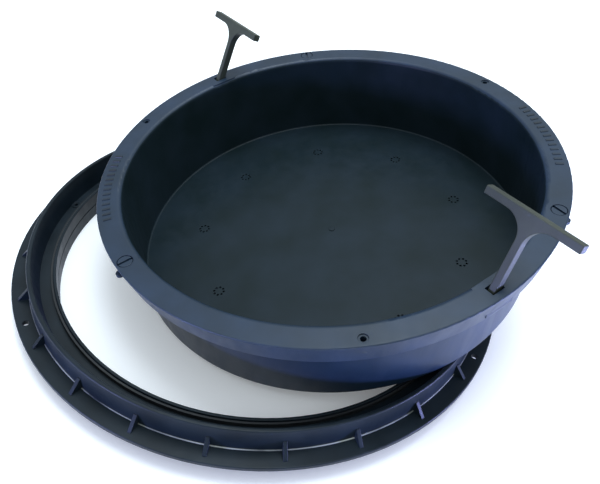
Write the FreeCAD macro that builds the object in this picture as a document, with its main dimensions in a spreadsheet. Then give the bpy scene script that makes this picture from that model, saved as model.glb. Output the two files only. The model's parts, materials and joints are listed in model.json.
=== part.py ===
import FreeCAD, Part
import math
import os

import Sketcher
from FreeCAD import Placement, Rotation, Vector

# Recessed round manhole cover with its frame, as it lies when the tray has been lifted out:
# the frame stands on its spigot, and the tray leans in it with one side on the frame's lip.
# Millimetres, +Z up. The origin is the centre of the frame flange's underside.

doc = FreeCAD.newDocument("manhole_cover")

SIZES = {
    # frame ring: flat flange, upstanding wall, seat, inner bead and spigot
    "flange_radius": 270.0,
    "flange_thick": 5.0,
    "opening_radius": 225.0,
    "spigot_wall": 3.2,
    "spigot_depth": 18.0,
    "bead_top": 12.3,
    "wall_outer_foot": 252.6,
    "wall_outer_top": 251.8,
    "wall_inner_top": 247.4,
    "wall_inner_foot": 242.2,
    "wall_top": 30.8,
    "channel_inner_foot": 244.6,
    "channel_outer_foot": 249.7,
    "channel_inner_top": 247.9,
    "channel_outer_top": 249.4,
    "channel_top": 14.5,
    "scribe_level": -3.0,
    "scribe_half": 0.8,
    "gusset_count": 24.0,
    "gusset_thick": 3.6,
    "gusset_top": 17.5,
    "gusset_radius": 264.0,
    "gusset_turn": 7.5,
    "fixing_radius": 261.0,
    "fixing_hole": 3.3,
    "fixing_turn": 90.0,
    "seat_hole_radius": 238.4,
    "seat_hole": 2.1,
    "seat_sink": 3.6,
    "seat_boss": 6.0,
    "seat_boss_rise": 0.8,
    "seat_turn": 45.0,
    "keeper_turn": 105.0,
    "keeper_half": 17.0,
    "keeper_low": 17.2,
    "keeper_high": 24.5,
    "keeper_reach": 249.6,
    # neoprene band round the bead
    "seal_inner": 228.5,
    "seal_outer": 230.5,
    "seal_gap": 0.05,
    "seal_height": 5.0,
    # tray, in its own frame: its top face is at zero
    "rim_radius": 247.2,
    "rim_thick": 4.0,
    "rim_round": 5.0,
    "skirt_depth": 25.6,
    "skirt_foot": 241.0,
    "skirt_thick": 3.0,
    "bowl_inner_top": 221.4,
    "bowl_inner_foot": 219.6,
    "bowl_thick": 3.0,
    "floor_depth": 101.4,
    "floor_thick": 3.0,
    "web_count": 12.0,
    "web_thick": 2.4,
    "web_depth": 19.0,
    "web_turn": 15.0,
    "drain_count": 9.0,
    "drain_radius": 155.0,
    "drain_ring": 5.4,
    "drain_hole": 1.25,
    "drain_holes": 8.0,
    "drain_turn": 10.0,
    "gate_radius": 3.5,
    "gate_height": 0.8,
    "screw_radius": 238.4,
    "screw_hole": 2.75,
    "screw_sink": 4.6,
    "screw_sink_depth": 1.2,
    "screw_boss": 6.5,
    "screw_boss_depth": 12.0,
    "screw_turn": 30.0,
    # quarter-turn lock: a slotted plug in the rim with a cam under it
    "lock_radius": 236.8,
    "lock_turn": 90.0,
    "lock_boss": 12.6,
    "lock_boss_root": 243.6,
    "lock_boss_depth": 9.7,
    "lock_head": 7.4,
    "lock_head_room": 7.9,
    "lock_head_top": -0.1,
    "lock_head_thick": 2.9,
    "lock_sink_depth": 3.4,
    "lock_slot_wide": 2.4,
    "lock_slot_deep": 1.8,
    "lock_shaft": 4.5,
    "lock_bore": 4.56,
    "lock_square": 5.4,
    "ring_level": -6.6,
    "ring_section": 0.7,
    "ring_root": 3.05,
    "cam_top": -10.1,
    "cam_thick": 3.0,
    "cam_width": 8.0,
    "cam_hub": 6.0,
    "cam_reach": 12.3,
    "cam_window_half": 17.0,
    "cam_window_low": 14.4,
    "cam_screw_shank": 1.4,
    "cam_screw_head": 3.2,
    "cam_screw_head_thick": 2.0,
    "cam_screw_reach": 5.5,
    # key slot and its closed pocket under the rim
    "slot_radius": 234.5,
    "slot_turn": 120.0,
    "slot_half_radial": 5.0,
    "slot_half_tangent": 7.0,
    "pocket_half_tangent": 14.2,
    "pocket_half_radial": 5.5,
    "pocket_depth": 18.5,
    "pocket_wall": 1.8,
    "pocket_inner": 222.6,
    # lifting key: a flat moulded T with a toe at its foot
    "key_length": 95.0,
    "key_bar": 7.6,
    "key_thick": 8.6,
    "key_stem": 7.0,
    "key_height": 72.7,
    "key_fillet": 19.5,
    "key_foot": 15.0,
    "key_toe": 3.5,
    "key_toe_height": 4.0,
    "key_pivot": 2.0,
    # how the tray lies at rest
    "tray_x": 61.6,
    "tray_y": 23.0,
    "tray_z": 126.7,
    "tray_tilt": 11.0,
    "tray_tilt_way": 200.2,
    "tray_turn": 5.6,
    "lean_near": 26.5,
    "lean_far": 30.5,
}

sheet = doc.addObject("Spreadsheet::Sheet", "Sizes")
for row, (alias, value) in enumerate(SIZES.items(), start=1):
    sheet.set("A%d" % row, alias)
    sheet.set("B%d" % row, str(value))
    sheet.setAlias("B%d" % row, alias)
doc.recompute()


def size(alias):
    """A driving dimension, read from the sheet."""
    return float(sheet.get(alias))


def cell(text):
    """An expression on the sheet: each size's name in the text becomes its cell."""
    words = []
    for word in text.split():
        words.append("Sizes." + word if word in SIZES else word)
    return " ".join(words)


# ---------------------------------------------------------------- PartDesign helpers


def new_body(label):
    body = doc.addObject("PartDesign::Body", label)
    body.Label = label
    return body


def new_sketch(body, name, role, turn=0.0, lift=0.0):
    """A sketch on one of the body's own origin planes, turned about Z and lifted along its normal."""
    sketch = body.newObject("Sketcher::SketchObject", name)
    plane = next(f for f in body.Origin.OriginFeatures if f.Role == role)
    sketch.AttachmentSupport = [(plane, "")]
    sketch.MapMode = "FlatFace"
    upright = role == "XZ_Plane"
    axis = Vector(0, 1, 0) if upright else Vector(0, 0, 1)
    sketch.AttachmentOffset = Placement(Vector(0, 0, lift), Rotation(axis, turn))
    return sketch


def pin_point(sketch, edge, end, across, up):
    """Place a point of an edge by expressions from the sketch's origin; an empty one is left free."""
    point = sketch.getPoint(edge, end)
    for kind, start, text in (("DistanceX", point.x, across), ("DistanceY", point.y, up)):
        if text:
            index = sketch.addConstraint(Sketcher.Constraint(kind, -1, 1, edge, end, start))
            sketch.setExpression("Constraints[%d]" % index, cell(text))


def outline(body, name, corners, role="XZ_Plane", turn=0.0, lift=0.0):
    """A closed outline through corners, each given as two expressions on the sheet."""
    sketch = new_sketch(body, name, role, turn, lift)
    total = len(corners)
    angles = [2 * math.pi * i / total for i in range(total)]
    spots = [Vector(100 + 10 * math.cos(a), 10 * math.sin(a), 0) for a in angles]
    for i in range(total):
        sketch.addGeometry(Part.LineSegment(spots[i], spots[(i + 1) % total]), False)
    for i in range(total):
        sketch.addConstraint(Sketcher.Constraint("Coincident", i, 2, (i + 1) % total, 1))
    for i, (across, up) in enumerate(corners):
        pin_point(sketch, i, 1, across, up)
    return sketch


def circles(body, name, spots, radius, turn=0.0, lift=0.0):
    """Circles of one radius on the XY plane, at spots given as pairs of expressions."""
    sketch = new_sketch(body, name, "XY_Plane", turn, lift)
    for i, (across, up) in enumerate(spots):
        start = Vector(50.0 + 20 * i, 10.0, 0)
        sketch.addGeometry(Part.Circle(start, Vector(0, 0, 1), 5.0), False)
        pin_point(sketch, i, 3, across, up)
        index = sketch.addConstraint(Sketcher.Constraint("Radius", i, 5.0))
        sketch.setExpression("Constraints[%d]" % index, cell(radius))
    return sketch


def half_round(body, name, centre, radius, root, turn):
    """A boss in plan: half a circle towards the middle and straight sides out to the skirt."""
    sketch = new_sketch(body, name, "XY_Plane", turn)
    middle, half, end = size(centre), size(radius), size(root)
    arc = Part.Circle(Vector(middle, 0, 0), Vector(0, 0, 1), half)
    corners = [Vector(middle, -half, 0), Vector(end, -half, 0), Vector(end, half, 0),
               Vector(middle, half, 0)]
    for i in range(3):
        sketch.addGeometry(Part.LineSegment(corners[i], corners[i + 1]), False)
    sketch.addGeometry(Part.ArcOfCircle(arc, math.pi / 2, 3 * math.pi / 2), False)
    for i in range(4):
        sketch.addConstraint(Sketcher.Constraint("Coincident", i, 2, (i + 1) % 4, 1))
    plan = [(centre, "- " + radius), (root, "- " + radius), (root, radius), (centre, radius)]
    for i, (across, up) in enumerate(plan):
        pin_point(sketch, i, 1, across, up)
    pin_point(sketch, 3, 3, centre, "")
    return sketch


def revolve(body, sketch, kind="PartDesign::Revolution"):
    feature = body.newObject(kind, sketch.Name + "_turned")
    feature.Profile = sketch
    feature.ReferenceAxis = (sketch, ["V_Axis"])
    feature.Angle = 360.0
    doc.recompute()
    return feature


def pad(body, sketch, length, midplane=False, down=False):
    feature = body.newObject("PartDesign::Pad", sketch.Name + "_pad")
    feature.Profile = sketch
    feature.setExpression("Length", cell(length))
    feature.Midplane = midplane
    feature.Reversed = down
    doc.recompute()
    return feature


def pocket(body, sketch, length, midplane=False, up=False):
    """A cut from the sketch downwards, or upwards, which has to remove something."""
    before = body.Shape.Volume
    feature = body.newObject("PartDesign::Pocket", sketch.Name + "_cut")
    feature.Profile = sketch
    feature.setExpression("Length", cell(length))
    feature.Midplane = midplane
    feature.Reversed = up
    doc.recompute()
    if feature.Shape.isNull() or feature.Shape.Volume >= before - 0.01:
        raise RuntimeError(feature.Name + " cuts nothing")
    return feature


def around(body, feature, sketch, count):
    """Repeat a feature round the Z axis."""
    upright = sketch.MapMode == "FlatFace" and "XZ" in sketch.AttachmentSupport[0][0].Role
    pattern = body.newObject("PartDesign::PolarPattern", feature.Name + "_ring")
    pattern.Originals = [feature]
    pattern.Axis = (sketch, ["V_Axis" if upright else "N_Axis"])
    pattern.Angle = 360.0
    pattern.setExpression("Occurrences", cell(count))
    body.Tip = pattern
    doc.recompute()
    return pattern


def round_edges(body, feature, rings, radius):
    """Fillet the whole circular edges that lie at the given (radius, height) pairs."""
    names = []
    for number, edge in enumerate(feature.Shape.Edges, start=1):
        curve = edge.Curve
        if not isinstance(curve, Part.Circle) or abs(curve.Axis.z) < 0.99:
            continue
        for ring_radius, height in rings:
            if abs(curve.Radius - ring_radius) < 0.02 and abs(curve.Center.z - height) < 0.02:
                names.append("Edge%d" % number)
    if not names:
        raise RuntimeError("no edge to round after " + feature.Name)
    fillet = body.newObject("PartDesign::Fillet", feature.Name + "_rounded")
    fillet.Base = (feature, names)
    fillet.Radius = radius
    body.Tip = fillet
    doc.recompute()
    return fillet


def rectangle(inner, outer, half):
    """Corners of a box in plan, from inner to outer radius and to each side of the X axis."""
    return [(inner, "- " + half), (outer, "- " + half), (outer, half), (inner, half)]


# ---------------------------------------------------------------- frame ring


def make_frame():
    body = new_body("frame")
    ring = outline(body, "frame_section", [
        ("opening_radius", "- spigot_depth"),
        ("opening_radius + spigot_wall", "- spigot_depth"),
        ("opening_radius + spigot_wall", "0"),
        ("flange_radius", "0"),
        ("flange_radius", "flange_thick"),
        ("wall_outer_foot", "flange_thick"),
        ("wall_outer_top", "wall_top"),
        ("wall_inner_top", "wall_top"),
        ("wall_inner_foot", "flange_thick"),
        ("opening_radius + spigot_wall", "flange_thick"),
        ("opening_radius + spigot_wall", "bead_top"),
        ("opening_radius", "bead_top"),
    ])
    ring_body = revolve(body, ring)
    lip = [(size("wall_outer_top"), size("wall_top")), (size("wall_inner_top"), size("wall_top"))]
    rounded = round_edges(body, ring_body, lip, 1.5)
    bead = [(size("opening_radius"), size("bead_top")),
            (size("opening_radius") + size("spigot_wall"), size("bead_top")),
            (size("flange_radius"), size("flange_thick")), (size("flange_radius"), 0.0)]
    round_edges(body, rounded, bead, 1.0)

    # the wall is cored out from below, as an even moulding is
    channel = outline(body, "core_channel", [
        ("channel_inner_foot", "-1"),
        ("channel_outer_foot", "-1"),
        ("channel_outer_top", "channel_top"),
        ("channel_inner_top", "channel_top"),
    ])
    revolve(body, channel, "PartDesign::Groove")
    scribe = outline(body, "parting_scribe", [
        ("opening_radius - 1", "scribe_level + scribe_half + 1"),
        ("opening_radius + scribe_half", "scribe_level"),
        ("opening_radius - 1", "scribe_level - scribe_half - 1"),
    ])
    revolve(body, scribe, "PartDesign::Groove")

    gusset = outline(body, "gusset", [
        ("wall_outer_top - 1.5", "flange_thick - 1"),
        ("gusset_radius", "flange_thick - 1"),
        ("gusset_radius", "flange_thick + 0.6"),
        ("wall_outer_foot + 0.4", "gusset_top"),
        ("wall_outer_top - 1.5", "gusset_top"),
    ], turn=size("gusset_turn"))
    around(body, pad(body, gusset, "gusset_thick", midplane=True), gusset, "gusset_count")

    holes = circles(body, "fixing_hole", [("fixing_radius", "0")], "fixing_hole",
                    turn=size("fixing_turn"))
    around(body, pocket(body, holes, "flange_thick * 4", midplane=True), holes, "3")
    make_seat_holes(body)

    low = size("keeper_low")
    keeper = outline(body, "cam_keeper", rectangle("wall_inner_foot - 3", "keeper_reach", "keeper_half"),
                     role="XY_Plane", turn=size("keeper_turn"), lift=low)
    around(body, pocket(body, keeper, "keeper_high - keeper_low", up=True), keeper, "3")
    return body


def make_seat_holes(body):
    """Three countersunk screw holes in the seat, each through a low raised boss."""
    turn = size("seat_turn")
    centre = [("seat_hole_radius", "0")]
    seat = size("flange_thick")
    top = seat + size("seat_boss_rise")
    boss = circles(body, "seat_boss", centre, "seat_boss", turn=turn, lift=seat - 1.0)
    around(body, pad(body, boss, "seat_boss_rise + 1"), boss, "3")
    hole = circles(body, "seat_hole", centre, "seat_hole", turn=turn, lift=top)
    around(body, pocket(body, hole, "flange_thick * 2"), hole, "3")
    sink = circles(body, "seat_sink", centre, "seat_sink", turn=turn, lift=top)
    around(body, pocket(body, sink, "seat_boss_rise / 2"), sink, "3")


def make_seal():
    """The neoprene band that sits on the seat, round the bead."""
    outer = doc.addObject("Part::Cylinder", "seal_outside")
    inner = doc.addObject("Part::Cylinder", "seal_inside")
    for tube, radius in ((outer, "seal_outer"), (inner, "seal_inner")):
        tube.setExpression("Radius", cell(radius))
        tube.setExpression("Height", cell("seal_height"))
    band = doc.addObject("Part::Cut", "frame_seal")
    band.Base = outer
    band.Tool = inner
    band.Label = "frame_seal"
    band.Placement = Placement(Vector(0, 0, size("flange_thick") + size("seal_gap")), Rotation())
    return band


# ---------------------------------------------------------------- tray


def make_tray(place):
    body = new_body("tray")
    section = outline(body, "tray_section", [
        ("0", "- floor_depth - floor_thick"),
        ("bowl_inner_foot + bowl_thick", "- floor_depth - floor_thick"),
        ("bowl_inner_top + bowl_thick", "- rim_thick"),
        ("rim_radius - skirt_thick - 1", "- rim_thick"),
        ("skirt_foot - skirt_thick", "- skirt_depth"),
        ("skirt_foot", "- skirt_depth"),
        ("rim_radius", "0"),
        ("bowl_inner_top", "0"),
        ("bowl_inner_foot", "- floor_depth"),
        ("0", "- floor_depth"),
    ])
    shell = revolve(body, section)
    deep = size("floor_depth")
    shell = round_edges(body, shell, [(size("bowl_inner_top"), 0.0)], size("rim_round"))
    foot = size("bowl_inner_foot")
    shell = round_edges(body, shell, [(foot, -deep)], 2.0)
    shell = round_edges(body, shell, [(foot + size("bowl_thick"), -deep - size("floor_thick"))], 4.0)
    round_edges(body, shell, [(size("rim_radius"), 0.0)], 1.2)

    web = outline(body, "rim_web", [
        ("bowl_inner_top + bowl_thick - 1", "- rim_thick + 1"),
        ("rim_radius - skirt_thick", "- rim_thick + 1"),
        ("skirt_foot + 0.5", "- web_depth"),
        ("bowl_inner_top + bowl_thick - 1", "- web_depth"),
    ], turn=size("web_turn"))
    around(body, pad(body, web, "web_thick", midplane=True), web, "web_count")

    gate = circles(body, "gate", [("0", "0")], "gate_radius", lift=-deep)
    pad(body, gate, "gate_height")
    make_drains(body)
    make_screw_holes(body)
    make_key_pockets(body)
    make_lock_bosses(body)
    body.Placement = place
    return body


def make_drains(body):
    """Rings of small drain holes in the floor, spaced evenly round the tray."""
    spots = []
    for i in range(int(size("drain_holes"))):
        angle = "%g deg" % (360.0 * i / size("drain_holes"))
        spots.append(("drain_radius + drain_ring * cos( %s )" % angle, "drain_ring * sin( %s )" % angle))
    drain = circles(body, "drain", spots, "drain_hole", turn=size("drain_turn"),
                    lift=-size("floor_depth") + 1.0)
    around(body, pocket(body, drain, "floor_thick + 2"), drain, "drain_count")


def make_screw_holes(body):
    """Three holes for the screws that can hold the tray down, each through a boss."""
    turn = size("screw_turn")
    centre = [("screw_radius", "0")]
    boss = circles(body, "screw_boss", centre, "screw_boss", turn=turn, lift=-1.0)
    around(body, pad(body, boss, "screw_boss_depth - 1", down=True), boss, "3")
    hole = circles(body, "screw_hole", centre, "screw_hole", turn=turn)
    around(body, pocket(body, hole, "screw_boss_depth + 1"), hole, "3")
    sink = circles(body, "screw_sink", centre, "screw_sink", turn=turn)
    around(body, pocket(body, sink, "screw_sink_depth"), sink, "3")


def make_key_pockets(body):
    """Two key slots opposite each other, each over a closed pocket with room for the key's toe."""
    turn = size("slot_turn")
    wide = "pocket_half_tangent + pocket_wall"
    box = outline(body, "pocket_box", [
        ("pocket_inner", "- pocket_half_tangent - pocket_wall"),
        ("slot_radius + pocket_half_radial + 3", "- pocket_half_tangent - pocket_wall"),
        ("slot_radius + pocket_half_radial + 3", wide),
        ("pocket_inner", wide),
    ], role="XY_Plane", turn=turn)
    around(body, pad(body, box, "pocket_depth + pocket_wall", down=True), box, "2")
    room = outline(body, "pocket_room", rectangle(
        "slot_radius - pocket_half_radial", "slot_radius + pocket_half_radial", "pocket_half_tangent"),
        role="XY_Plane", turn=turn, lift=-size("rim_thick"))
    around(body, pocket(body, room, "pocket_depth - rim_thick"), room, "2")
    slot = outline(body, "key_slot", rectangle(
        "slot_radius - slot_half_radial", "slot_radius + slot_half_radial", "slot_half_tangent"),
        role="XY_Plane", turn=turn)
    around(body, pocket(body, slot, "rim_thick + 1"), slot, "2")


def make_lock_bosses(body):
    """Three bosses for the lock plugs, with a window in the skirt for each cam."""
    turn = size("lock_turn")
    centre = [("lock_radius", "0")]
    boss = half_round(body, "lock_boss_plan", "lock_radius", "lock_boss", "lock_boss_root", turn)
    around(body, pad(body, boss, "lock_boss_depth", down=True), boss, "3")
    sink = circles(body, "lock_sink", centre, "lock_head_room", turn=turn)
    around(body, pocket(body, sink, "lock_sink_depth"), sink, "3")
    bore = circles(body, "lock_bore", centre, "lock_bore", turn=turn)
    around(body, pocket(body, bore, "lock_boss_depth + 1"), bore, "3")
    window = outline(body, "cam_window", rectangle("lock_radius", "rim_radius + 5", "cam_window_half"),
                     role="XY_Plane", turn=turn, lift=-size("lock_boss_depth"))
    around(body, pocket(body, window, "cam_window_low - lock_boss_depth"), window, "3")


# ---------------------------------------------------------------- locks


def make_plug(label, place):
    """Slotted head, round shaft with a ring groove, and a square end that drives the cam."""
    body = new_body(label)
    turned = outline(body, label + "_section", [
        ("0", "lock_head_top"),
        ("lock_head", "lock_head_top"),
        ("lock_head", "lock_head_top - lock_head_thick"),
        ("lock_shaft", "lock_head_top - lock_head_thick"),
        ("lock_shaft", "ring_level + ring_section + 0.1"),
        ("ring_root", "ring_level + ring_section + 0.1"),
        ("ring_root", "ring_level - ring_section - 0.1"),
        ("lock_shaft", "ring_level - ring_section - 0.1"),
        ("lock_shaft", "cam_top + 0.1"),
        ("0", "cam_top + 0.1"),
    ])
    revolve(body, turned)
    square = outline(body, label + "_square", rectangle("- lock_square / 2", "lock_square / 2",
                     "lock_square / 2"), role="XY_Plane", lift=size("cam_top") + 0.5)
    pad(body, square, "cam_thick + 0.4", down=True)
    slot = outline(body, label + "_slot", rectangle("- lock_head - 1", "lock_head + 1",
                   "lock_slot_wide / 2"), role="XY_Plane", lift=size("lock_head_top"))
    pocket(body, slot, "lock_slot_deep")
    foot = size("cam_top") - size("cam_thick")
    hole = circles(body, label + "_hole", [("0", "0")], "cam_screw_shank + 0.05",
                   lift=foot)
    pocket(body, hole, "cam_screw_reach", up=True)
    body.Placement = place
    return body


def primitive(kind, name, sizes, where=Vector()):
    """A Part primitive whose sizes are bound to the sheet."""
    thing = doc.addObject("Part::" + kind, name)
    for prop, text in sizes.items():
        thing.setExpression(prop, cell(text))
    thing.Placement = Placement(where, Rotation())
    return thing


def combine(kind, label, base, tool, place=Placement()):
    thing = doc.addObject("Part::" + kind, label)
    thing.Base = base
    thing.Tool = tool
    thing.Label = label
    thing.Placement = place
    return thing


def make_cam(label, place):
    """A tongue with a round hub and tip and a square hole, which turns under the rim."""
    foot = size("cam_top") - size("cam_thick")
    half = size("cam_width") / 2
    tip_centre = size("cam_reach") - half
    tall = {"Height": "cam_thick"}
    hub = primitive("Cylinder", label + "_hub", dict(tall, Radius="cam_hub"), Vector(0, 0, foot))
    tip = primitive("Cylinder", label + "_tip", dict(tall, Radius="cam_width / 2"),
                    Vector(tip_centre, 0, foot))
    arm = primitive("Box", label + "_arm", {"Length": "cam_reach - cam_width / 2", "Width": "cam_width",
                    "Height": "cam_thick"}, Vector(0, -half, foot))
    side = size("lock_square") + 0.1
    hole = primitive("Box", label + "_square_hole", {"Length": "lock_square + 0.1",
                     "Width": "lock_square + 0.1", "Height": "cam_thick + 2"},
                     Vector(-side / 2, -side / 2, foot - 1))
    tongue = combine("Fuse", label + "_tongue", combine("Fuse", label + "_blank", hub, arm), tip)
    return combine("Cut", label, tongue, hole, place)


def make_cam_screw(label, place):
    """A pan-head screw up through the cam into the plug."""
    foot = size("cam_top") - size("cam_thick") - 0.05
    head = primitive("Cylinder", label + "_head", {"Radius": "cam_screw_head",
                     "Height": "cam_screw_head_thick"}, Vector(0, 0, foot - size("cam_screw_head_thick")))
    shank = primitive("Cylinder", label + "_shank", {"Radius": "cam_screw_shank",
                      "Height": "cam_screw_reach - 0.5"}, Vector(0, 0, foot - 0.1))
    across = primitive("Box", label + "_slot", {"Length": "cam_screw_head * 2 + 2",
                       "Width": "0.9", "Height": "1"},
                       Vector(-size("cam_screw_head") - 1, -0.45, foot - size("cam_screw_head_thick")))
    return combine("Cut", label, combine("Fuse", label + "_blank", head, shank), across, place)


def make_ring(label, place):
    """The rubber ring in the plug's groove."""
    ring = doc.addObject("Part::Torus", label)
    ring.setExpression("Radius1", cell("ring_root + ring_section + 0.02"))
    ring.setExpression("Radius2", cell("ring_section"))
    ring.Label = label
    ring.Placement = place.multiply(Placement(Vector(0, 0, size("ring_level")), Rotation()))
    return ring


# ---------------------------------------------------------------- lifting keys


def make_key(label, place):
    """The T outline is in the XZ plane: bar, two round gussets and stem, with a toe to -Y at its foot."""
    body = new_body(label)
    half = size("key_length") / 2
    bar_foot = size("key_height") - size("key_bar")
    stem = size("key_stem") / 2
    bend = size("key_fillet")
    sketch = new_sketch(body, label + "_outline", "XZ_Plane")
    top = size("key_height")
    foot = -size("key_foot")
    left_start = Vector(-half, bar_foot, 0)
    right_start = Vector(half, bar_foot, 0)
    corners = [Vector(-half, top, 0), Vector(half, top, 0), right_start,
               Vector(stem + bend, bar_foot, 0), Vector(stem, bar_foot - bend, 0),
               Vector(stem, foot, 0), Vector(-stem, foot, 0), Vector(-stem, bar_foot - bend, 0),
               Vector(-stem - bend, bar_foot, 0), left_start]
    for i in range(len(corners)):
        if i in (3, 7):
            side = 1 if i == 3 else -1
            centre = Vector(side * (stem + bend), bar_foot - bend, 0)
            start = math.pi / 2 if side > 0 else 0.0
            curve = Part.Circle(centre, Vector(0, 0, 1), bend)
            sketch.addGeometry(Part.ArcOfCircle(curve, start, start + math.pi / 2), False)
        else:
            sketch.addGeometry(Part.LineSegment(corners[i], corners[(i + 1) % len(corners)]), False)
    # the key is symmetric about its stem, so one side is measured and the other follows
    texts = {0: ("- key_length / 2", "key_height"), 1: ("key_length / 2", "key_height"),
             2: ("key_length / 2", "key_height - key_bar"), 5: ("key_stem / 2", "- key_foot"),
             6: ("- key_stem / 2", "- key_foot"), 9: ("- key_length / 2", "key_height - key_bar")}
    for i, (across, up) in texts.items():
        pin_point(sketch, i, 1, across, up)
    joins = [(0, 2, 1, 1), (1, 2, 2, 1), (2, 2, 3, 1), (3, 2, 4, 1), (4, 2, 5, 1), (5, 2, 6, 1),
             (6, 2, 7, 1), (7, 2, 8, 1), (8, 2, 9, 1), (9, 2, 0, 1)]
    for first, first_end, second, second_end in joins:
        sketch.addConstraint(Sketcher.Constraint("Coincident", first, first_end, second, second_end))
    for arc, across in ((3, "key_stem / 2 + key_fillet"), (7, "- key_stem / 2 - key_fillet")):
        pin_point(sketch, arc, 3, across, "")
    pin_point(sketch, 4, 1, "key_stem / 2", "key_height - key_bar - key_fillet")
    pin_point(sketch, 7, 1, "- key_stem / 2", "key_height - key_bar - key_fillet")
    pin_point(sketch, 2, 2, "key_stem / 2 + key_fillet", "key_height - key_bar")
    pin_point(sketch, 8, 1, "- key_stem / 2 - key_fillet", "key_height - key_bar")
    pad(body, sketch, "key_thick", midplane=True)
    toe = outline(body, label + "_toe", [
        ("- key_stem / 2", "- key_thick / 2 - key_toe"),
        ("key_stem / 2", "- key_thick / 2 - key_toe"),
        ("key_stem / 2", "0"),
        ("- key_stem / 2", "0"),
    ], role="XY_Plane", lift=foot)
    pad(body, toe, "key_toe_height")
    body.Placement = place
    return body


# ---------------------------------------------------------------- where everything goes


def about_z(degrees):
    return Placement(Vector(), Rotation(Vector(0, 0, 1), degrees))


def tray_placement():
    """The tray's frame at rest: turned about its own axis, then tilted towards one side."""
    way = math.radians(size("tray_tilt_way"))
    hinge = Vector(-math.sin(way), math.cos(way), 0)
    tilt = Rotation(hinge, size("tray_tilt"))
    centre = Vector(size("tray_x"), size("tray_y"), size("tray_z"))
    return Placement(centre, tilt).multiply(about_z(size("tray_turn")))


def rim_placement(rest, angle, radius, height=0.0):
    """A place on the tray's rim, with X pointing out along the radius."""
    return rest.multiply(about_z(angle)).multiply(Placement(Vector(radius, 0, height), Rotation()))


def key_placement(rest, near):
    """A key standing in its slot: its bar lies along the diameter and both lean the same way."""
    angle = size("slot_turn") + (180.0 if near else 0.0)
    lean = size("lean_near") if near else size("lean_far")
    slot = rim_placement(rest, angle, size("slot_radius"), -size("key_pivot"))
    facing = about_z(0.0 if near else 180.0)
    tipped = Placement(Vector(), Rotation(Vector(1, 0, 0), -lean))
    lift = Placement(Vector(0, 0, size("key_pivot")), Rotation())
    return slot.multiply(facing).multiply(tipped).multiply(lift)


rest = tray_placement()
pieces = [make_frame(), make_seal(), make_tray(rest)]
for number in (1, 2, 3):
    spot = rim_placement(rest, size("lock_turn") + 120.0 * (number - 1), size("lock_radius"))
    pieces.append(make_plug("lock_plug_%d" % number, spot))
    pieces.append(make_cam("lock_cam_%d" % number, spot))
    pieces.append(make_cam_screw("cam_screw_%d" % number, spot))
    pieces.append(make_ring("plug_seal_%d" % number, spot))
pieces.append(make_key("lifting_key_near", key_placement(rest, True)))
pieces.append(make_key("lifting_key_far", key_placement(rest, False)))
doc.recompute()

for thing in doc.Objects:
    if "Invalid" in thing.State or "Error" in thing.State:
        raise RuntimeError("%s is %s" % (thing.Name, thing.State))
for piece in pieces:
    if piece.Shape.isNull() or not piece.Shape.isValid():
        raise RuntimeError(piece.Label + " has no valid shape")

os.makedirs("parts", exist_ok=True)
for piece in pieces:
    piece.Shape.exportStep("parts/%s.step" % piece.Label)
    print("%-18s %9.1f mm3" % (piece.Label, piece.Shape.Volume))
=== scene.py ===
import json
import math

import bmesh
import bpy
from bpy.props import FloatProperty, FloatVectorProperty, IntProperty, PointerProperty
from mathutils import Matrix, Vector


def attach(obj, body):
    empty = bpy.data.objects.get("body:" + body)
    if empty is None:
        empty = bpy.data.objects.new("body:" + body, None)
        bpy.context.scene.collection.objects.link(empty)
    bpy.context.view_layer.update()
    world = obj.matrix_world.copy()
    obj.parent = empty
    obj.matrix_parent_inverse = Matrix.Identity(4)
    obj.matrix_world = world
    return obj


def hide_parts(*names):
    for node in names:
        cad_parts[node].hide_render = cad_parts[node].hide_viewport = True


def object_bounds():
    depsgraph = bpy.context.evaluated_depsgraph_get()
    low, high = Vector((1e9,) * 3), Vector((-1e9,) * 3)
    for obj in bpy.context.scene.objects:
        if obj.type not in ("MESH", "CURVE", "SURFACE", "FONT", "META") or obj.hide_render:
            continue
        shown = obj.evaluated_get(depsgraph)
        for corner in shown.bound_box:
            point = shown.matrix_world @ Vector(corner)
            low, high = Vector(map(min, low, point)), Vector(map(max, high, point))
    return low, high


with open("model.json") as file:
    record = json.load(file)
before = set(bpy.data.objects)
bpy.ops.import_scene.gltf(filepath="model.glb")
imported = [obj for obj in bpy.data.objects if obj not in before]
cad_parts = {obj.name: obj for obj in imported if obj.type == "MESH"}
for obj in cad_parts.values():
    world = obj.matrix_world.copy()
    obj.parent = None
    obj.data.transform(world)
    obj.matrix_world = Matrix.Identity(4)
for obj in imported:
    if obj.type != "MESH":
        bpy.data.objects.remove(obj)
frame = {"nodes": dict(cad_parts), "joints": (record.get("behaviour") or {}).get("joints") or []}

bl_info = {
    "name": "Manhole Cover Finish",
    "version": (1, 0, 0),
    "blender": (4, 5, 0),
    "location": "View3D > Sidebar > Cover",
    "description": "Mouldings, plastics and setting of a recessed manhole cover and its frame",
    "category": "Object",
}

MM = 0.001
CAD_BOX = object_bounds()
JOINTS = {joint["name"]: joint for joint in frame["joints"]}
BOWL_WALL = 222.2 * MM  # a radius in the middle of the bowl's wall
BOWL_FLOOR = -103.0 * MM  # a height in the middle of the bowl's floor, from the rim
FADE = 0.2 * MM  # how gradually the painted shade in the bowl gives way to the tray's own tone
JOIN = 0.3 * MM  # how far blocks of one moulding run into each other
CLOUD_SCALE, SCUFF_SCALE, GRAIN_SCALE = 22.0, 90.0, 900.0
HEAD_SIDES, SHAFT_SIDES, SEAM_SIDES, SEAM_STEPS, BEND_STEPS = 48, 32, 8, 240, 12
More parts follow.
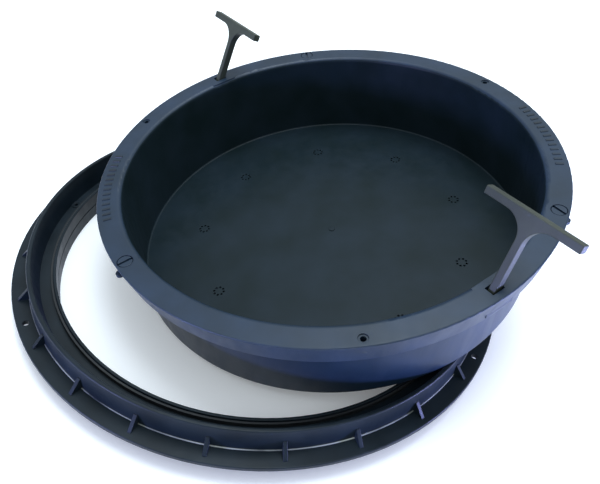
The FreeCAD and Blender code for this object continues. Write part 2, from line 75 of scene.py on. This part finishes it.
# How far a key's toe is sunk in its stem, and in from the stem's sides and foot.
TOE_SINK, TOE_SIDE, TOE_LIFT = 1.0 * MM, 0.2 * MM, 0.1 * MM
RIB_ROOT = 0.4 * MM  # how far a rib is sunk in the rim
RIB_TAPER = (0.92, 0.7)  # how much of a rib's length and width is left at its top
LOCKS = (1, 2, 3)
SKEWED_LOCK = 3
FLOOR_HALF = 6.0
COOL, VIOLET = (0.80, 0.91, 1.0), (0.38, 0.42, 1.0)
# Each light's name, place, target, size, power and tone.
LIGHTS = (
    ("top_light", (0.1, 0.2, 1.9), (0.0, 0.0, 0.0), 1.2, 30.0, COOL),
    ("right_light", (0.90, -0.42, 0.03), (0.18, 0.0, 0.06), 0.10, 17.0, VIOLET),
    ("left_light", (-0.80, -0.70, 0.02), (-0.1, 0.0, 0.02), 0.08, 12.0, VIOLET),
)
SKY_TONE = (0.84, 0.93, 1.0, 1.0)
SKY_LOW, SKY_HIGH = 0.32, 1.4  # the sky's strength near the horizon and overhead
SKY_FROM, SKY_TO = 0.1, 0.85  # the heights between which it grows


# ---------------------------------------------------------------- sizes and colours


def length(name, text, default):
    return FloatProperty(name=name, description=text, default=default, unit="LENGTH")


def angle(name, text, degrees):
    return FloatProperty(name=name, description=text, default=math.radians(degrees),
                         unit="ROTATION", subtype="ANGLE")


def colour(name, text, default):
    return FloatVectorProperty(name=name, description=text, default=default, subtype="COLOR",
                               size=3, min=0.0, max=1.0)


class CoverKeySizes(bpy.types.PropertyGroup):
    """The moulded lifting keys."""

    bar_length: length("Bar length", "Length of the key's cross bar", 95 * MM)
    bar_depth: length("Bar depth", "Height of the cross bar", 7.6 * MM)
    thickness: length("Thickness", "Thickness of the flat moulding", 8.6 * MM)
    stem_width: length("Stem width", "Width of the stem", 7.0 * MM)
    height: length("Height", "Top of the bar above the tray's rim", 72.7 * MM)
    foot: length("Foot", "How far the stem goes below the rim", 15 * MM)
    bend: length("Bend", "Radius between the bar and the stem", 19.5 * MM)
    toe: length("Toe", "How far the toe stands out at the foot", 3.5 * MM)
    toe_height: length("Toe height", "Height of the toe", 4.0 * MM)
    pivot: length("Pivot depth", "Depth below the rim about which the key rocks", 2.0 * MM)
    edge: length("Edge", "Radius on the moulding's edges", 0.9 * MM)
    lean_near: angle("Near key lean", "Lean of the near key", 26.5)
    lean_far: angle("Far key lean", "Lean of the far key", 30.5)


class CoverLockSizes(bpy.types.PropertyGroup):
    """The slotted lock plugs and the grip ribs on the rim."""

    head: length("Head radius", "Radius of the plug's head", 7.2 * MM)
    head_top: length("Head top", "Height of the head's top from the rim", -0.15 * MM)
    head_depth: length("Head depth", "Thickness of the head", 2.85 * MM)
    slot_width: length("Slot width", "Width of the driver slot", 2.5 * MM)
    slot_depth: length("Slot depth", "Depth of the driver slot", 1.9 * MM)
    shaft: length("Shaft radius", "Radius of the shaft", 4.5 * MM)
    shaft_foot: length("Shaft foot", "Lower end of the shaft below the rim", -10.0 * MM)
    square: length("Square", "Side of the square end that drives the cam", 5.4 * MM)
    square_foot: length("Square foot", "Lower end of the square below the rim", -13.0 * MM)
    slot_turn: angle("Slot turn", "How far the right-hand plug's slot is off the radius", -32.0)
    edge: length("Edge", "Radius on the head's edges", 0.35 * MM)
    rib_inner: length("Rib inner radius", "Inner end of the grip ribs", 232.6 * MM)
    rib_outer: length("Rib outer radius", "Outer end of the grip ribs", 241.4 * MM)
    rib_width: length("Rib width", "Width of one grip rib", 3.6 * MM)
    rib_height: length("Rib height", "Height of a grip rib above the rim", 0.7 * MM)
    rib_count: IntProperty(name="Ribs", description="Grip ribs in one group", default=14, min=2)
    rib_span: angle("Rib span", "Angle that one group of ribs covers", 26.0)
    rib_turn: angle("Rib turn", "Where the first group stands on the rim", 0.5)


class CoverFrameSizes(bpy.types.PropertyGroup):
    """Fine mouldings on the frame ring."""

    seam_radius: length("Seam radius", "Radius of the seam round the wall's foot", 252.9 * MM)
    seam_height: length("Seam height", "Height of the seam's middle", 5.15 * MM)
    seam_section: length("Seam section", "Radius of the seam's own section", 0.65 * MM)


class CoverColours(bpy.types.PropertyGroup):
    """Colours of the plastics, rubber, steel and floor."""

    tray_dark: colour("Tray dark", "Tray plastic, dark tone", (0.0055, 0.0150, 0.0270))
    tray_light: colour("Tray light", "Tray plastic, scuffed tone", (0.0100, 0.0240, 0.0480))
    # The bowl's two tones are painted shade: the tray's plastic made darker and less blue inside
    # the bowl.
    bowl_shade_dark: colour("Bowl dark", "Inside of the bowl, dark tone", (0.0048, 0.0110, 0.0130))
    bowl_shade_light: colour("Bowl light", "Inside of the bowl, scuffed tone", (0.0088, 0.0165, 0.0230))
    frame_dark: colour("Frame dark", "Frame plastic, dark tone", (0.0036, 0.0075, 0.0105))
    frame_light: colour("Frame light", "Frame plastic, scuffed tone", (0.0085, 0.0150, 0.0210))
    key_dark: colour("Key dark", "Key plastic, dark tone", (0.018, 0.023, 0.017))
    key_light: colour("Key light", "Key plastic, rubbed tone", (0.036, 0.043, 0.031))
    # The seam's pale tone is a painted highlight along the fillet at the foot of the wall.
    seam: colour("Seam", "Rubbed plastic on the wall's seam", (0.42, 0.44, 0.40))
    rubber: colour("Rubber", "Seals", (0.004, 0.005, 0.006))
    steel: colour("Steel", "Plated steel", (0.50, 0.50, 0.48))
    floor: colour("Floor", "Studio floor", (0.97, 0.97, 0.97))


class CoverStageSizes(bpy.types.PropertyGroup):
    """Camera and lights."""

    eye: FloatVectorProperty(name="Camera place", description="Where the camera stands",
                             default=(0.0, -0.5432, 0.4904), subtype="TRANSLATION", size=3)
    yaw: FloatProperty(name="Camera yaw", description="Turn to the right, in radians",
                       default=0.0772)
    pitch: FloatProperty(name="Camera pitch", description="Turn down, in radians", default=0.7037)
    roll: FloatProperty(name="Camera roll", description="Roll, in radians", default=0.1335)
    lens: FloatProperty(name="Lens", description="Focal length in millimetres on a 36 mm sensor",
                        default=37.42)
    sky: FloatProperty(name="Sky", description="Strength of the surrounding light", default=1.0)


# ---------------------------------------------------------------- plastics, rubber and steel


def new_material(name):
    """An empty node material with a shader, its output and the piece's own coordinates."""
    material = bpy.data.materials.new(name)
    material.use_nodes = True
    nodes = material.node_tree.nodes
    nodes.clear()
    output = nodes.new("ShaderNodeOutputMaterial")
    shader = nodes.new("ShaderNodeBsdfPrincipled")
    place = nodes.new("ShaderNodeTexCoord")
    material.node_tree.links.new(shader.outputs["BSDF"], output.inputs["Surface"])
    return material, nodes, material.node_tree.links, shader, place


def noise(nodes, links, place, scale, detail=4.0, stretch=None):
    """Noise over the piece; stretch squeezes it along an axis for streaks."""
    texture = nodes.new("ShaderNodeTexNoise")
    texture.inputs["Scale"].default_value = scale
    texture.inputs["Detail"].default_value = detail
    source = place.outputs["Object"]
    if stretch:
        mapping = nodes.new("ShaderNodeMapping")
        mapping.inputs["Scale"].default_value = stretch
        links.new(source, mapping.inputs["Vector"])
        source = mapping.outputs["Vector"]
    links.new(source, texture.inputs["Vector"])
    return texture.outputs["Fac"]


def spread(nodes, links, value, low, high, start=0.3, end=0.7):
    """Map a 0 to 1 value onto low to high."""
    change = nodes.new("ShaderNodeMapRange")
    change.inputs["From Min"].default_value = start
    change.inputs["From Max"].default_value = end
    change.inputs["To Min"].default_value = low
    change.inputs["To Max"].default_value = high
    links.new(value, change.inputs["Value"])
    return change.outputs["Result"]


def blend_colours(nodes, links, value, first, second):
    mix = nodes.new("ShaderNodeMix")
    mix.data_type = "RGBA"
    mix.inputs["A"].default_value = (*first, 1.0)
    mix.inputs["B"].default_value = (*second, 1.0)
    links.new(value, mix.inputs["Factor"])
    return mix.outputs["Result"]


def moulded_plastic(name, dark, light, rough, grain=0.06, edge=0.8 * MM, specular=0.34,
                    sheen=0.03):
    """Moulded plastic: cloudy scuffing, uneven sheen, fine grain and slightly rounded edges."""
    material, nodes, links, shader, place = new_material(name)
    clouds = noise(nodes, links, place, CLOUD_SCALE, 8.0)
    scuffs = noise(nodes, links, place, SCUFF_SCALE, 3.0, (1.0, 1.0, 0.25))
    fine = noise(nodes, links, place, GRAIN_SCALE, 2.0)
    tone = blend_colours(nodes, links, spread(nodes, links, clouds, 0.0, 1.0), dark, light)
    links.new(tone, shader.inputs["Base Color"])
    links.new(spread(nodes, links, scuffs, rough - 0.05, rough + 0.07), shader.inputs["Roughness"])
    shader.inputs["Specular IOR Level"].default_value = specular
    shader.inputs["Sheen Weight"].default_value = sheen
    shader.inputs["Sheen Roughness"].default_value = 0.35
    shader.inputs["Sheen Tint"].default_value = (0.30, 0.36, 1.0, 1.0)
    rounding = nodes.new("ShaderNodeBevel")
    rounding.inputs["Radius"].default_value = edge
    bump = nodes.new("ShaderNodeBump")
    bump.inputs["Strength"].default_value = grain
    bump.inputs["Distance"].default_value = 0.2 * MM
    links.new(fine, bump.inputs["Height"])
    links.new(rounding.outputs["Normal"], bump.inputs["Normal"])
    links.new(bump.outputs["Normal"], shader.inputs["Normal"])
    return material


def paint_bowl_shade(material, dark, light, specular):
    """Paint shade inside the tray's bowl: darker tones, a lower specular and no sheen there."""
    nodes, links = material.node_tree.nodes, material.node_tree.links
    shader = next(node for node in nodes if node.type == "BSDF_PRINCIPLED")
    place = next(node for node in nodes if node.type == "TEX_COORD")
    home = tray_matrix()
    local = nodes.new("ShaderNodeMapping")
    local.vector_type = "TEXTURE"
    local.inputs["Location"].default_value = home.to_translation()
    local.inputs["Rotation"].default_value = home.to_euler()
    links.new(place.outputs["Object"], local.inputs["Vector"])
    parts = nodes.new("ShaderNodeSeparateXYZ")
    links.new(local.outputs["Vector"], parts.inputs["Vector"])
    flat = nodes.new("ShaderNodeVectorMath")
    flat.operation = "MULTIPLY"
    flat.inputs[1].default_value = (1.0, 1.0, 0.0)
    links.new(local.outputs["Vector"], flat.inputs[0])
    radius = nodes.new("ShaderNodeVectorMath")
    radius.operation = "LENGTH"
    links.new(flat.outputs["Vector"], radius.inputs[0])
    within = spread(nodes, links, radius.outputs["Value"], 1.0, 0.0, BOWL_WALL - FADE, BOWL_WALL)
    above = spread(nodes, links, parts.outputs["Z"], 0.0, 1.0, BOWL_FLOOR - FADE, BOWL_FLOOR)
    inside = nodes.new("ShaderNodeMath")
    inside.operation = "MULTIPLY"
    links.new(within, inside.inputs[0])
    links.new(above, inside.inputs[1])
    clouds = noise(nodes, links, place, CLOUD_SCALE, 8.0)
    bowl = blend_colours(nodes, links, spread(nodes, links, clouds, 0.0, 1.0), dark, light)
    mix = nodes.new("ShaderNodeMix")
    mix.data_type = "RGBA"
    links.new(inside.outputs["Value"], mix.inputs["Factor"])
    links.new(shader.inputs["Base Color"].links[0].from_socket, mix.inputs["A"])
    links.new(bowl, mix.inputs["B"])
    links.new(mix.outputs["Result"], shader.inputs["Base Color"])
    # The specular outside the bowl; the lower one inside is painted shade.
    rubbed = shader.inputs["Specular IOR Level"].default_value
    links.new(spread(nodes, links, inside.outputs["Value"], rubbed, specular, 0.0, 1.0),
              shader.inputs["Specular IOR Level"])
    sheen = shader.inputs["Sheen Weight"].default_value
    links.new(spread(nodes, links, inside.outputs["Value"], sheen, 0.0, 0.0, 1.0),
              shader.inputs["Sheen Weight"])
    return material


def soft_rubber(name, tone):
    """Dull rubber with a dusty bloom."""
    material, nodes, links, shader, place = new_material(name)
    dust = noise(nodes, links, place, 60.0, 5.0)
    bloom = tuple(min(1.0, part * 2.2) for part in tone)
    links.new(blend_colours(nodes, links, spread(nodes, links, dust, 0.0, 1.0), tone, bloom),
              shader.inputs["Base Color"])
    links.new(spread(nodes, links, dust, 0.6, 0.8), shader.inputs["Roughness"])
    return material


def plated_steel(name, tone):
    """Zinc-plated steel with a fine brushed variation."""
    material, nodes, links, shader, place = new_material(name)
    brushed = noise(nodes, links, place, 300.0, 3.0, (1.0, 0.1, 1.0))
    darker = tuple(part * 0.7 for part in tone)
    links.new(blend_colours(nodes, links, brushed, darker, tone), shader.inputs["Base Color"])
    links.new(spread(nodes, links, brushed, 0.28, 0.42), shader.inputs["Roughness"])
    shader.inputs["Metallic"].default_value = 1.0
    return material


def paint(node_names, material):
    for name in node_names:
        mesh = frame["nodes"][name].data
        mesh.materials.clear()
        mesh.materials.append(material)


# ---------------------------------------------------------------- mesh helpers


def finish_mesh(name, mesh_data, material, body, bevel=0.0, smooth=35.0):
    """Link a bmesh as a smooth-shaded piece that rides on a body, with its material and edges."""
    mesh = bpy.data.meshes.new(name)
    bmesh.ops.recalc_face_normals(mesh_data, faces=mesh_data.faces)
    mesh_data.to_mesh(mesh)
    mesh_data.free()
    piece = bpy.data.objects.new(name, mesh)
    bpy.context.scene.collection.objects.link(piece)
    mesh.materials.append(material)
    mesh.polygons.foreach_set("use_smooth", [True] * len(mesh.polygons))
    if bevel:
        rounding = piece.modifiers.new("edges", "BEVEL")
        rounding.width = bevel
        rounding.segments = 3
        rounding.limit_method = "ANGLE"
        rounding.angle_limit = math.radians(30)
        rounding.harden_normals = True
    mesh.set_sharp_from_angle(angle=math.radians(smooth))
    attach(piece, body)
    return piece


def key_outline(sizes):
    """The T in its own plane: bar, two round gussets and stem."""
    half, stem = sizes.bar_length / 2, sizes.stem_width / 2
    top, under = sizes.height, sizes.height - sizes.bar_depth
    bend, foot = sizes.bend, -sizes.foot
    right = [(half, top), (half, under)]
    for i in range(BEND_STEPS + 1):
        turn = math.pi / 2 + math.pi / 2 * i / BEND_STEPS
        right.append((stem + bend + bend * math.cos(turn), under - bend + bend * math.sin(turn)))
    right.append((stem, foot))
    return right + [(-x, z) for x, z in reversed(right)]


def key_mesh(sizes):
    """The flat moulding with a toe standing out at its foot."""
    mesh = bmesh.new()
    half = sizes.thickness / 2
    front = [mesh.verts.new((x, -half, z)) for x, z in key_outline(sizes)]
    face = mesh.faces.new(front)
    back = bmesh.ops.extrude_face_region(mesh, geom=[face])
    moved = [v for v in back["geom"] if isinstance(v, bmesh.types.BMVert)]
    bmesh.ops.translate(mesh, verts=moved, vec=(0, sizes.thickness, 0))
    toe_low, toe_high = -sizes.foot, -sizes.foot + sizes.toe_height
    stem = sizes.stem_width / 2 - TOE_SIDE
    toe_low += TOE_LIFT
    toe = [(-stem, toe_low), (stem, toe_low), (stem, toe_high), (-stem, toe_high)]
    ring = [mesh.verts.new((x, -half + TOE_SINK, z)) for x, z in toe]
    base = mesh.faces.new(ring)
    out = bmesh.ops.extrude_face_region(mesh, geom=[base])
    moved = [v for v in out["geom"] if isinstance(v, bmesh.types.BMVert)]
    bmesh.ops.translate(mesh, verts=moved, vec=(0, -sizes.toe - TOE_SINK, 0))
    return mesh


def standing(place, across, ahead, normal):
    """The matrix of a frame with its origin at a place and the given axes."""
    turned = Matrix((across, ahead, normal)).transposed().to_4x4()
    return Matrix.Translation(place) @ turned


def tray_rim():
    """The centre of the tray's rim and the direction out of the tray."""
    normal = Vector(JOINTS["lock_1_turn"]["axis"]).normalized()
    return Vector(JOINTS["tray_lift"]["pos_m"]), normal


def tray_matrix():
    """The tray's own frame: its centre on the rim, Y towards the first lock, Z out of the tray."""
    centre, normal = tray_rim()
    away = Vector(JOINTS["lock_1_turn"]["pos_m"]) - centre
    ahead = (away - normal * away.dot(normal)).normalized()
    return standing(centre, ahead.cross(normal), ahead, normal)


def lock_matrix(number):
    """A lock's own frame: X out along the tray's radius, Z out of the tray."""
    place = Vector(JOINTS["lock_%d_turn" % number]["pos_m"])
    centre, normal = tray_rim()
    out = (place - centre).normalized()
    return standing(place, out, normal.cross(out), normal)


def prism(mesh, plan, low, high):
    """An upright block on a plan given as points going round anticlockwise."""
    base = mesh.faces.new([mesh.verts.new((x, y, low)) for x, y in plan])
    raised = bmesh.ops.extrude_face_region(mesh, geom=[base])
    moved = [v for v in raised["geom"] if isinstance(v, bmesh.types.BMVert)]
    bmesh.ops.translate(mesh, verts=moved, vec=(0, 0, high - low))
    return moved


def arc(radius, start, end, steps):
    """Points along an arc, both ends included."""
    turns = [start + (end - start) * i / steps for i in range(steps + 1)]
    return [(radius * math.cos(turn), radius * math.sin(turn)) for turn in turns]


def round_plan(radius, sides):
    """A full circle of points, each given once."""
    return arc(radius, 0.0, 2 * math.pi * (sides - 1) / sides, sides - 1)


def plug_mesh(sizes):
    """A head in two raised halves with the driver slot between them, a shaft and a square end."""
    mesh = bmesh.new()
    top = sizes.head_top
    slot_floor = top - sizes.slot_depth
    head_foot = top - sizes.head_depth
    skew = math.asin(sizes.slot_width / 2 / sizes.head)
    half_sides = HEAD_SIDES // 2
    prism(mesh, round_plan(sizes.head, HEAD_SIDES), head_foot, slot_floor)
    for start in (0.0, math.pi):
        side = arc(sizes.head, start + skew, start + math.pi - skew, half_sides)
        prism(mesh, side, slot_floor - JOIN, top)
    prism(mesh, round_plan(sizes.shaft, SHAFT_SIDES), sizes.shaft_foot, head_foot + JOIN)
    half = sizes.square / 2
    corners = [(-half, -half), (half, -half), (half, half), (-half, half)]
    prism(mesh, corners, sizes.square_foot, sizes.shaft_foot + JOIN)
    return mesh


def ring_mesh(radius, height, section):
    """A fine round bead that runs all the way round, a little uneven as a trimmed seam is."""
    mesh = bmesh.new()
    loops = []
    for i in range(SEAM_STEPS):
        turn = 2 * math.pi * i / SEAM_STEPS
        thick = section * (1.0 + 0.25 * math.sin(7 * turn) * math.sin(3 * turn + 1.0))
        loop = []
        for j in range(SEAM_SIDES):
            around = 2 * math.pi * j / SEAM_SIDES
            out = radius + thick * math.cos(around)
            up = height + thick * math.sin(around)
            loop.append(mesh.verts.new((out * math.cos(turn), out * math.sin(turn), up)))
        loops.append(loop)
    for first, second in zip(loops, loops[1:] + loops[:1]):
        for j in range(SEAM_SIDES):
            k = (j + 1) % SEAM_SIDES
            mesh.faces.new((first[j], second[j], second[k], first[k]))
    return mesh


def ribs_mesh(sizes):
    """Two groups of low tapered grip ribs on the flat of the rim, opposite each other."""
    mesh = bmesh.new()
    pitch = sizes.rib_span / (sizes.rib_count - 1)
    half = sizes.rib_width / 2
    plan = [(sizes.rib_inner, -half), (sizes.rib_outer, -half), (sizes.rib_outer, half),
            (sizes.rib_inner, half)]
    middle = (sizes.rib_inner + sizes.rib_outer) / 2
    for group in (0.0, math.pi):
        for i in range(sizes.rib_count):
            turn = group + sizes.rib_turn + pitch * (i - (sizes.rib_count - 1) / 2)
            raised = prism(mesh, plan, -RIB_ROOT, sizes.rib_height)
            fresh = [v for v in mesh.verts if not v.tag]
            for v in raised:
                v.co.x = middle + (v.co.x - middle) * RIB_TAPER[0]
                v.co.y *= RIB_TAPER[1]
            turned = Matrix.Rotation(turn, 3, "Z")
            bmesh.ops.rotate(mesh, verts=fresh, cent=(0, 0, 0), matrix=turned)
            for v in fresh:
                v.tag = True
    return mesh


def key_matrix(joint, lean, sizes):
    """Where a key stands: X along its bar, leaning from the rim's normal."""
    along = Vector(joint["axis"]).normalized()
    normal = tray_rim()[1]
    side = normal.cross(along).normalized()
    tip = Matrix.Rotation(-lean, 4, "X")
    lift = Matrix.Translation((0, 0, sizes.pivot))
    return standing(Vector(joint["pos_m"]), along, side, normal) @ tip @ lift


# ---------------------------------------------------------------- operators


class COVER_OT_tray(bpy.types.Operator):
    """Give the tray its moulded plastic, with painted shade inside the bowl."""

    bl_idname = "cover.tray"
    bl_label = "Tray"

    def execute(self, context):
        tones = context.scene.cover_colours
        plastic = moulded_plastic("tray_plastic", tones.tray_dark, tones.tray_light, 0.42)
        paint(["tray"], paint_bowl_shade(plastic, tones.bowl_shade_dark, tones.bowl_shade_light, 0.14))
        return {"FINISHED"}


class COVER_OT_frame(bpy.types.Operator):
    """Give the frame ring its plastic and its seal."""

    bl_idname = "cover.frame"
    bl_label = "Frame ring"

    def execute(self, context):
        tones = context.scene.cover_colours
        plastic = moulded_plastic("frame_plastic", tones.frame_dark, tones.frame_light, 0.42,
                                  specular=0.18)
        paint(["frame"], plastic)
        paint(["frame_seal"], soft_rubber("seal_rubber", tones.rubber))
        return {"FINISHED"}


class COVER_OT_seam(bpy.types.Operator):
    """Run the mould seam round the foot of the frame's wall, its pale tone a painted highlight."""

    bl_idname = "cover.seam"
    bl_label = "Wall seam"

    def execute(self, context):
        sizes = context.scene.cover_frame
        tones = context.scene.cover_colours
        # This plastic runs from the frame's light tone to the seam's painted highlight.
        plastic = moulded_plastic("seam_highlight_plastic", tones.frame_light, tones.seam, 0.3,
                                  edge=0.1 * MM)
        mesh = ring_mesh(sizes.seam_radius, sizes.seam_height, sizes.seam_section)
        finish_mesh("wall_seam_highlight", mesh, plastic, "frame")
        return {"FINISHED"}


class COVER_OT_locks(bpy.types.Operator):
    """Give the three locks their plastic, steel and rubber."""

    bl_idname = "cover.locks"
    bl_label = "Locks"

    def execute(self, context):
        tones = context.scene.cover_colours
        sizes = context.scene.cover_lock
        plastic = moulded_plastic("lock_plastic", tones.tray_dark, tones.tray_light, 0.36,
                                  edge=0.3 * MM)
        steel = plated_steel("plated_steel", tones.steel)
        for i in LOCKS:
            mesh = plug_mesh(sizes)
            turned = sizes.slot_turn if i == SKEWED_LOCK else 0.0
            mesh.transform(lock_matrix(i) @ Matrix.Rotation(turned, 4, "Z"))
            plug = finish_mesh("moulded_plug_%d" % i, mesh, plastic, "lock_%d" % i,
                               bevel=sizes.edge)
            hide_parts("lock_plug_%d" % i)
        paint(["lock_cam_%d" % i for i in LOCKS], plastic)
        paint(["cam_screw_%d" % i for i in LOCKS], steel)
        paint(["plug_seal_%d" % i for i in LOCKS], soft_rubber("ring_rubber", tones.rubber))
        return {"FINISHED"}


class COVER_OT_ribs(bpy.types.Operator):
    """Mould the two groups of grip ribs on the rim."""

    bl_idname = "cover.ribs"
    bl_label = "Grip ribs"

    def execute(self, context):
        tones = context.scene.cover_colours
        # The ribs' plastic, from the frame's dark tone to the tray's, is darker than the rim as
        # painted shade.
        plastic = moulded_plastic("rib_shaded_plastic", tones.frame_dark, tones.tray_dark, 0.4,
                                  edge=0.2 * MM)
        mesh = ribs_mesh(context.scene.cover_lock)
        mesh.transform(tray_matrix())
        finish_mesh("grip_ribs", mesh, plastic, "tray", bevel=0.15 * MM)
        return {"FINISHED"}


class COVER_OT_keys(bpy.types.Operator):
    """Mould the two T-shaped lifting keys in their slots."""

    bl_idname = "cover.keys"
    bl_label = "Lifting keys"

    def execute(self, context):
        sizes = context.scene.cover_key
        tones = context.scene.cover_colours
        plastic = moulded_plastic("key_plastic", tones.key_dark, tones.key_light, 0.5, grain=0.16,
                                  sheen=0.0)
        for side, lean in (("near", sizes.lean_near), ("far", sizes.lean_far)):
            mesh = key_mesh(sizes)
            mesh.transform(key_matrix(JOINTS["key_%s_rock" % side], lean, sizes))
            key = finish_mesh("moulded_key_" + side, mesh, plastic, "key_" + side,
                              bevel=sizes.edge)
            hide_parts("lifting_key_" + side)
        return {"FINISHED"}


class COVER_OT_stage(bpy.types.Operator):
    """Set out the pale floor, the soft lights and the camera."""

    bl_idname = "cover.stage"
    bl_label = "Stage"

    def execute(self, context):
        sizes = context.scene.cover_stage
        tones = context.scene.cover_colours
        context.scene.view_settings.view_transform = "Standard"
        self.floor(tones)
        self.sky(context, sizes)
        self.camera(context, sizes)
        for light in LIGHTS:
            self.area(*light)
        return {"FINISHED"}

    def floor(self, tones):
        """A pale paper floor under the lowest point, faintly lit of itself."""
        mesh = bmesh.new()
        bmesh.ops.create_grid(mesh, x_segments=8, y_segments=8, size=FLOOR_HALF)
        data = bpy.data.meshes.new("floor")
        mesh.to_mesh(data)
        mesh.free()
        floor = bpy.data.objects.new("floor", data)
        floor.location.z = CAD_BOX[0][2]
        bpy.context.scene.collection.objects.link(floor)
        material, nodes, links, shader, place = new_material("floor_paper")
        mottle = noise(nodes, links, place, 3.0, 2.0)
        tone = tuple(tones.floor)
        softer = tuple(part * 0.985 for part in tone)
        links.new(blend_colours(nodes, links, mottle, softer, tone), shader.inputs["Base Color"])
        shader.inputs["Roughness"].default_value = 0.9
        shader.inputs["Specular IOR Level"].default_value = 0.1
        shader.inputs["Emission Color"].default_value = (1.0, 1.0, 1.0, 1.0)
        shader.inputs["Emission Strength"].default_value = 0.12
        data.materials.append(material)

    def sky(self, context, sizes):
        """Soft light from all round, stronger overhead."""
        world = bpy.data.worlds.new("studio")
        world.use_nodes = True
        nodes, links = world.node_tree.nodes, world.node_tree.links
        sky = nodes["Background"]
        sky.inputs["Color"].default_value = SKY_TONE
        place = nodes.new("ShaderNodeTexCoord")
        split = nodes.new("ShaderNodeSeparateXYZ")
        links.new(place.outputs["Generated"], split.inputs["Vector"])
        height = spread(nodes, links, split.outputs["Z"], SKY_LOW * sizes.sky, SKY_HIGH * sizes.sky,
                        SKY_FROM, SKY_TO)
        # What the camera sees behind the floor is as pale as the floor itself.
        path = nodes.new("ShaderNodeLightPath")
        seen = nodes.new("ShaderNodeMix")
        seen.inputs["B"].default_value = 1.0
        links.new(path.outputs["Is Camera Ray"], seen.inputs["Factor"])
        links.new(height, seen.inputs["A"])
        links.new(seen.outputs["Result"], sky.inputs["Strength"])
        context.scene.world = world

    def camera(self, context, sizes):
        """The camera, turned by yaw, then pitch, then roll."""
        yaw, pitch, roll = sizes.yaw, sizes.pitch, sizes.roll
        ahead = Vector((math.sin(yaw) * math.cos(pitch), math.cos(yaw) * math.cos(pitch),
                        -math.sin(pitch)))
        level = Vector((math.cos(yaw), -math.sin(yaw), 0.0))
        above = level.cross(ahead)
        right = math.cos(roll) * level + math.sin(roll) * above
        up = -math.sin(roll) * level + math.cos(roll) * above
        lens = bpy.data.cameras.new("camera")
        lens.sensor_width = 36.0
        lens.lens = sizes.lens
        lens.clip_start = 0.01
        camera = bpy.data.objects.new("camera", lens)
        turned = Matrix((right, up, -ahead)).transposed().to_4x4()
        camera.matrix_world = Matrix.Translation(Vector(sizes.eye)) @ turned
        context.scene.collection.objects.link(camera)
        context.scene.camera = camera

    def area(self, name, place, target, size, power, tone):
        """A round soft light aimed at a target."""
        data = bpy.data.lights.new(name, "AREA")
        data.shape = "DISK"
        data.size = size
        data.energy = power
        data.color = tone
        light = bpy.data.objects.new(name, data)
        light.location = place
        aim = Vector(target) - Vector(place)
        light.visible_camera = False
        light.rotation_euler = aim.to_track_quat("-Z", "Y").to_euler()
        bpy.context.scene.collection.objects.link(light)


class COVER_PT_panel(bpy.types.Panel):
    """Lists the cover's pieces in the sidebar."""

    bl_idname = "COVER_PT_panel"
    bl_label = "Manhole Cover"
    bl_space_type = "VIEW_3D"
    bl_region_type = "UI"
    bl_category = "Cover"

    def draw(self, context):
        for step in STEPS:
            self.layout.operator(step.bl_idname, text=step.bl_label)


GROUPS = {
    "cover_frame": CoverFrameSizes,
    "cover_lock": CoverLockSizes,
    "cover_key": CoverKeySizes,
    "cover_colours": CoverColours,
    "cover_stage": CoverStageSizes,
}
STEPS = (COVER_OT_tray, COVER_OT_frame, COVER_OT_seam, COVER_OT_locks, COVER_OT_ribs,
         COVER_OT_keys, COVER_OT_stage)
CLASSES = (*GROUPS.values(), *STEPS, COVER_PT_panel)


def register():
    for cls in CLASSES:
        bpy.utils.register_class(cls)
    for name, group in GROUPS.items():
        setattr(bpy.types.Scene, name, PointerProperty(type=group))


def unregister():
    for name in GROUPS:
        delattr(bpy.types.Scene, name)
    for cls in reversed(CLASSES):
        bpy.utils.unregister_class(cls)


def main():
    register()
    bpy.ops.cover.tray()
    bpy.ops.cover.frame()
    bpy.ops.cover.seam()
    bpy.ops.cover.locks()
    bpy.ops.cover.ribs()
    bpy.ops.cover.keys()
    bpy.ops.cover.stage()


if __name__ == "__main__":
    main()
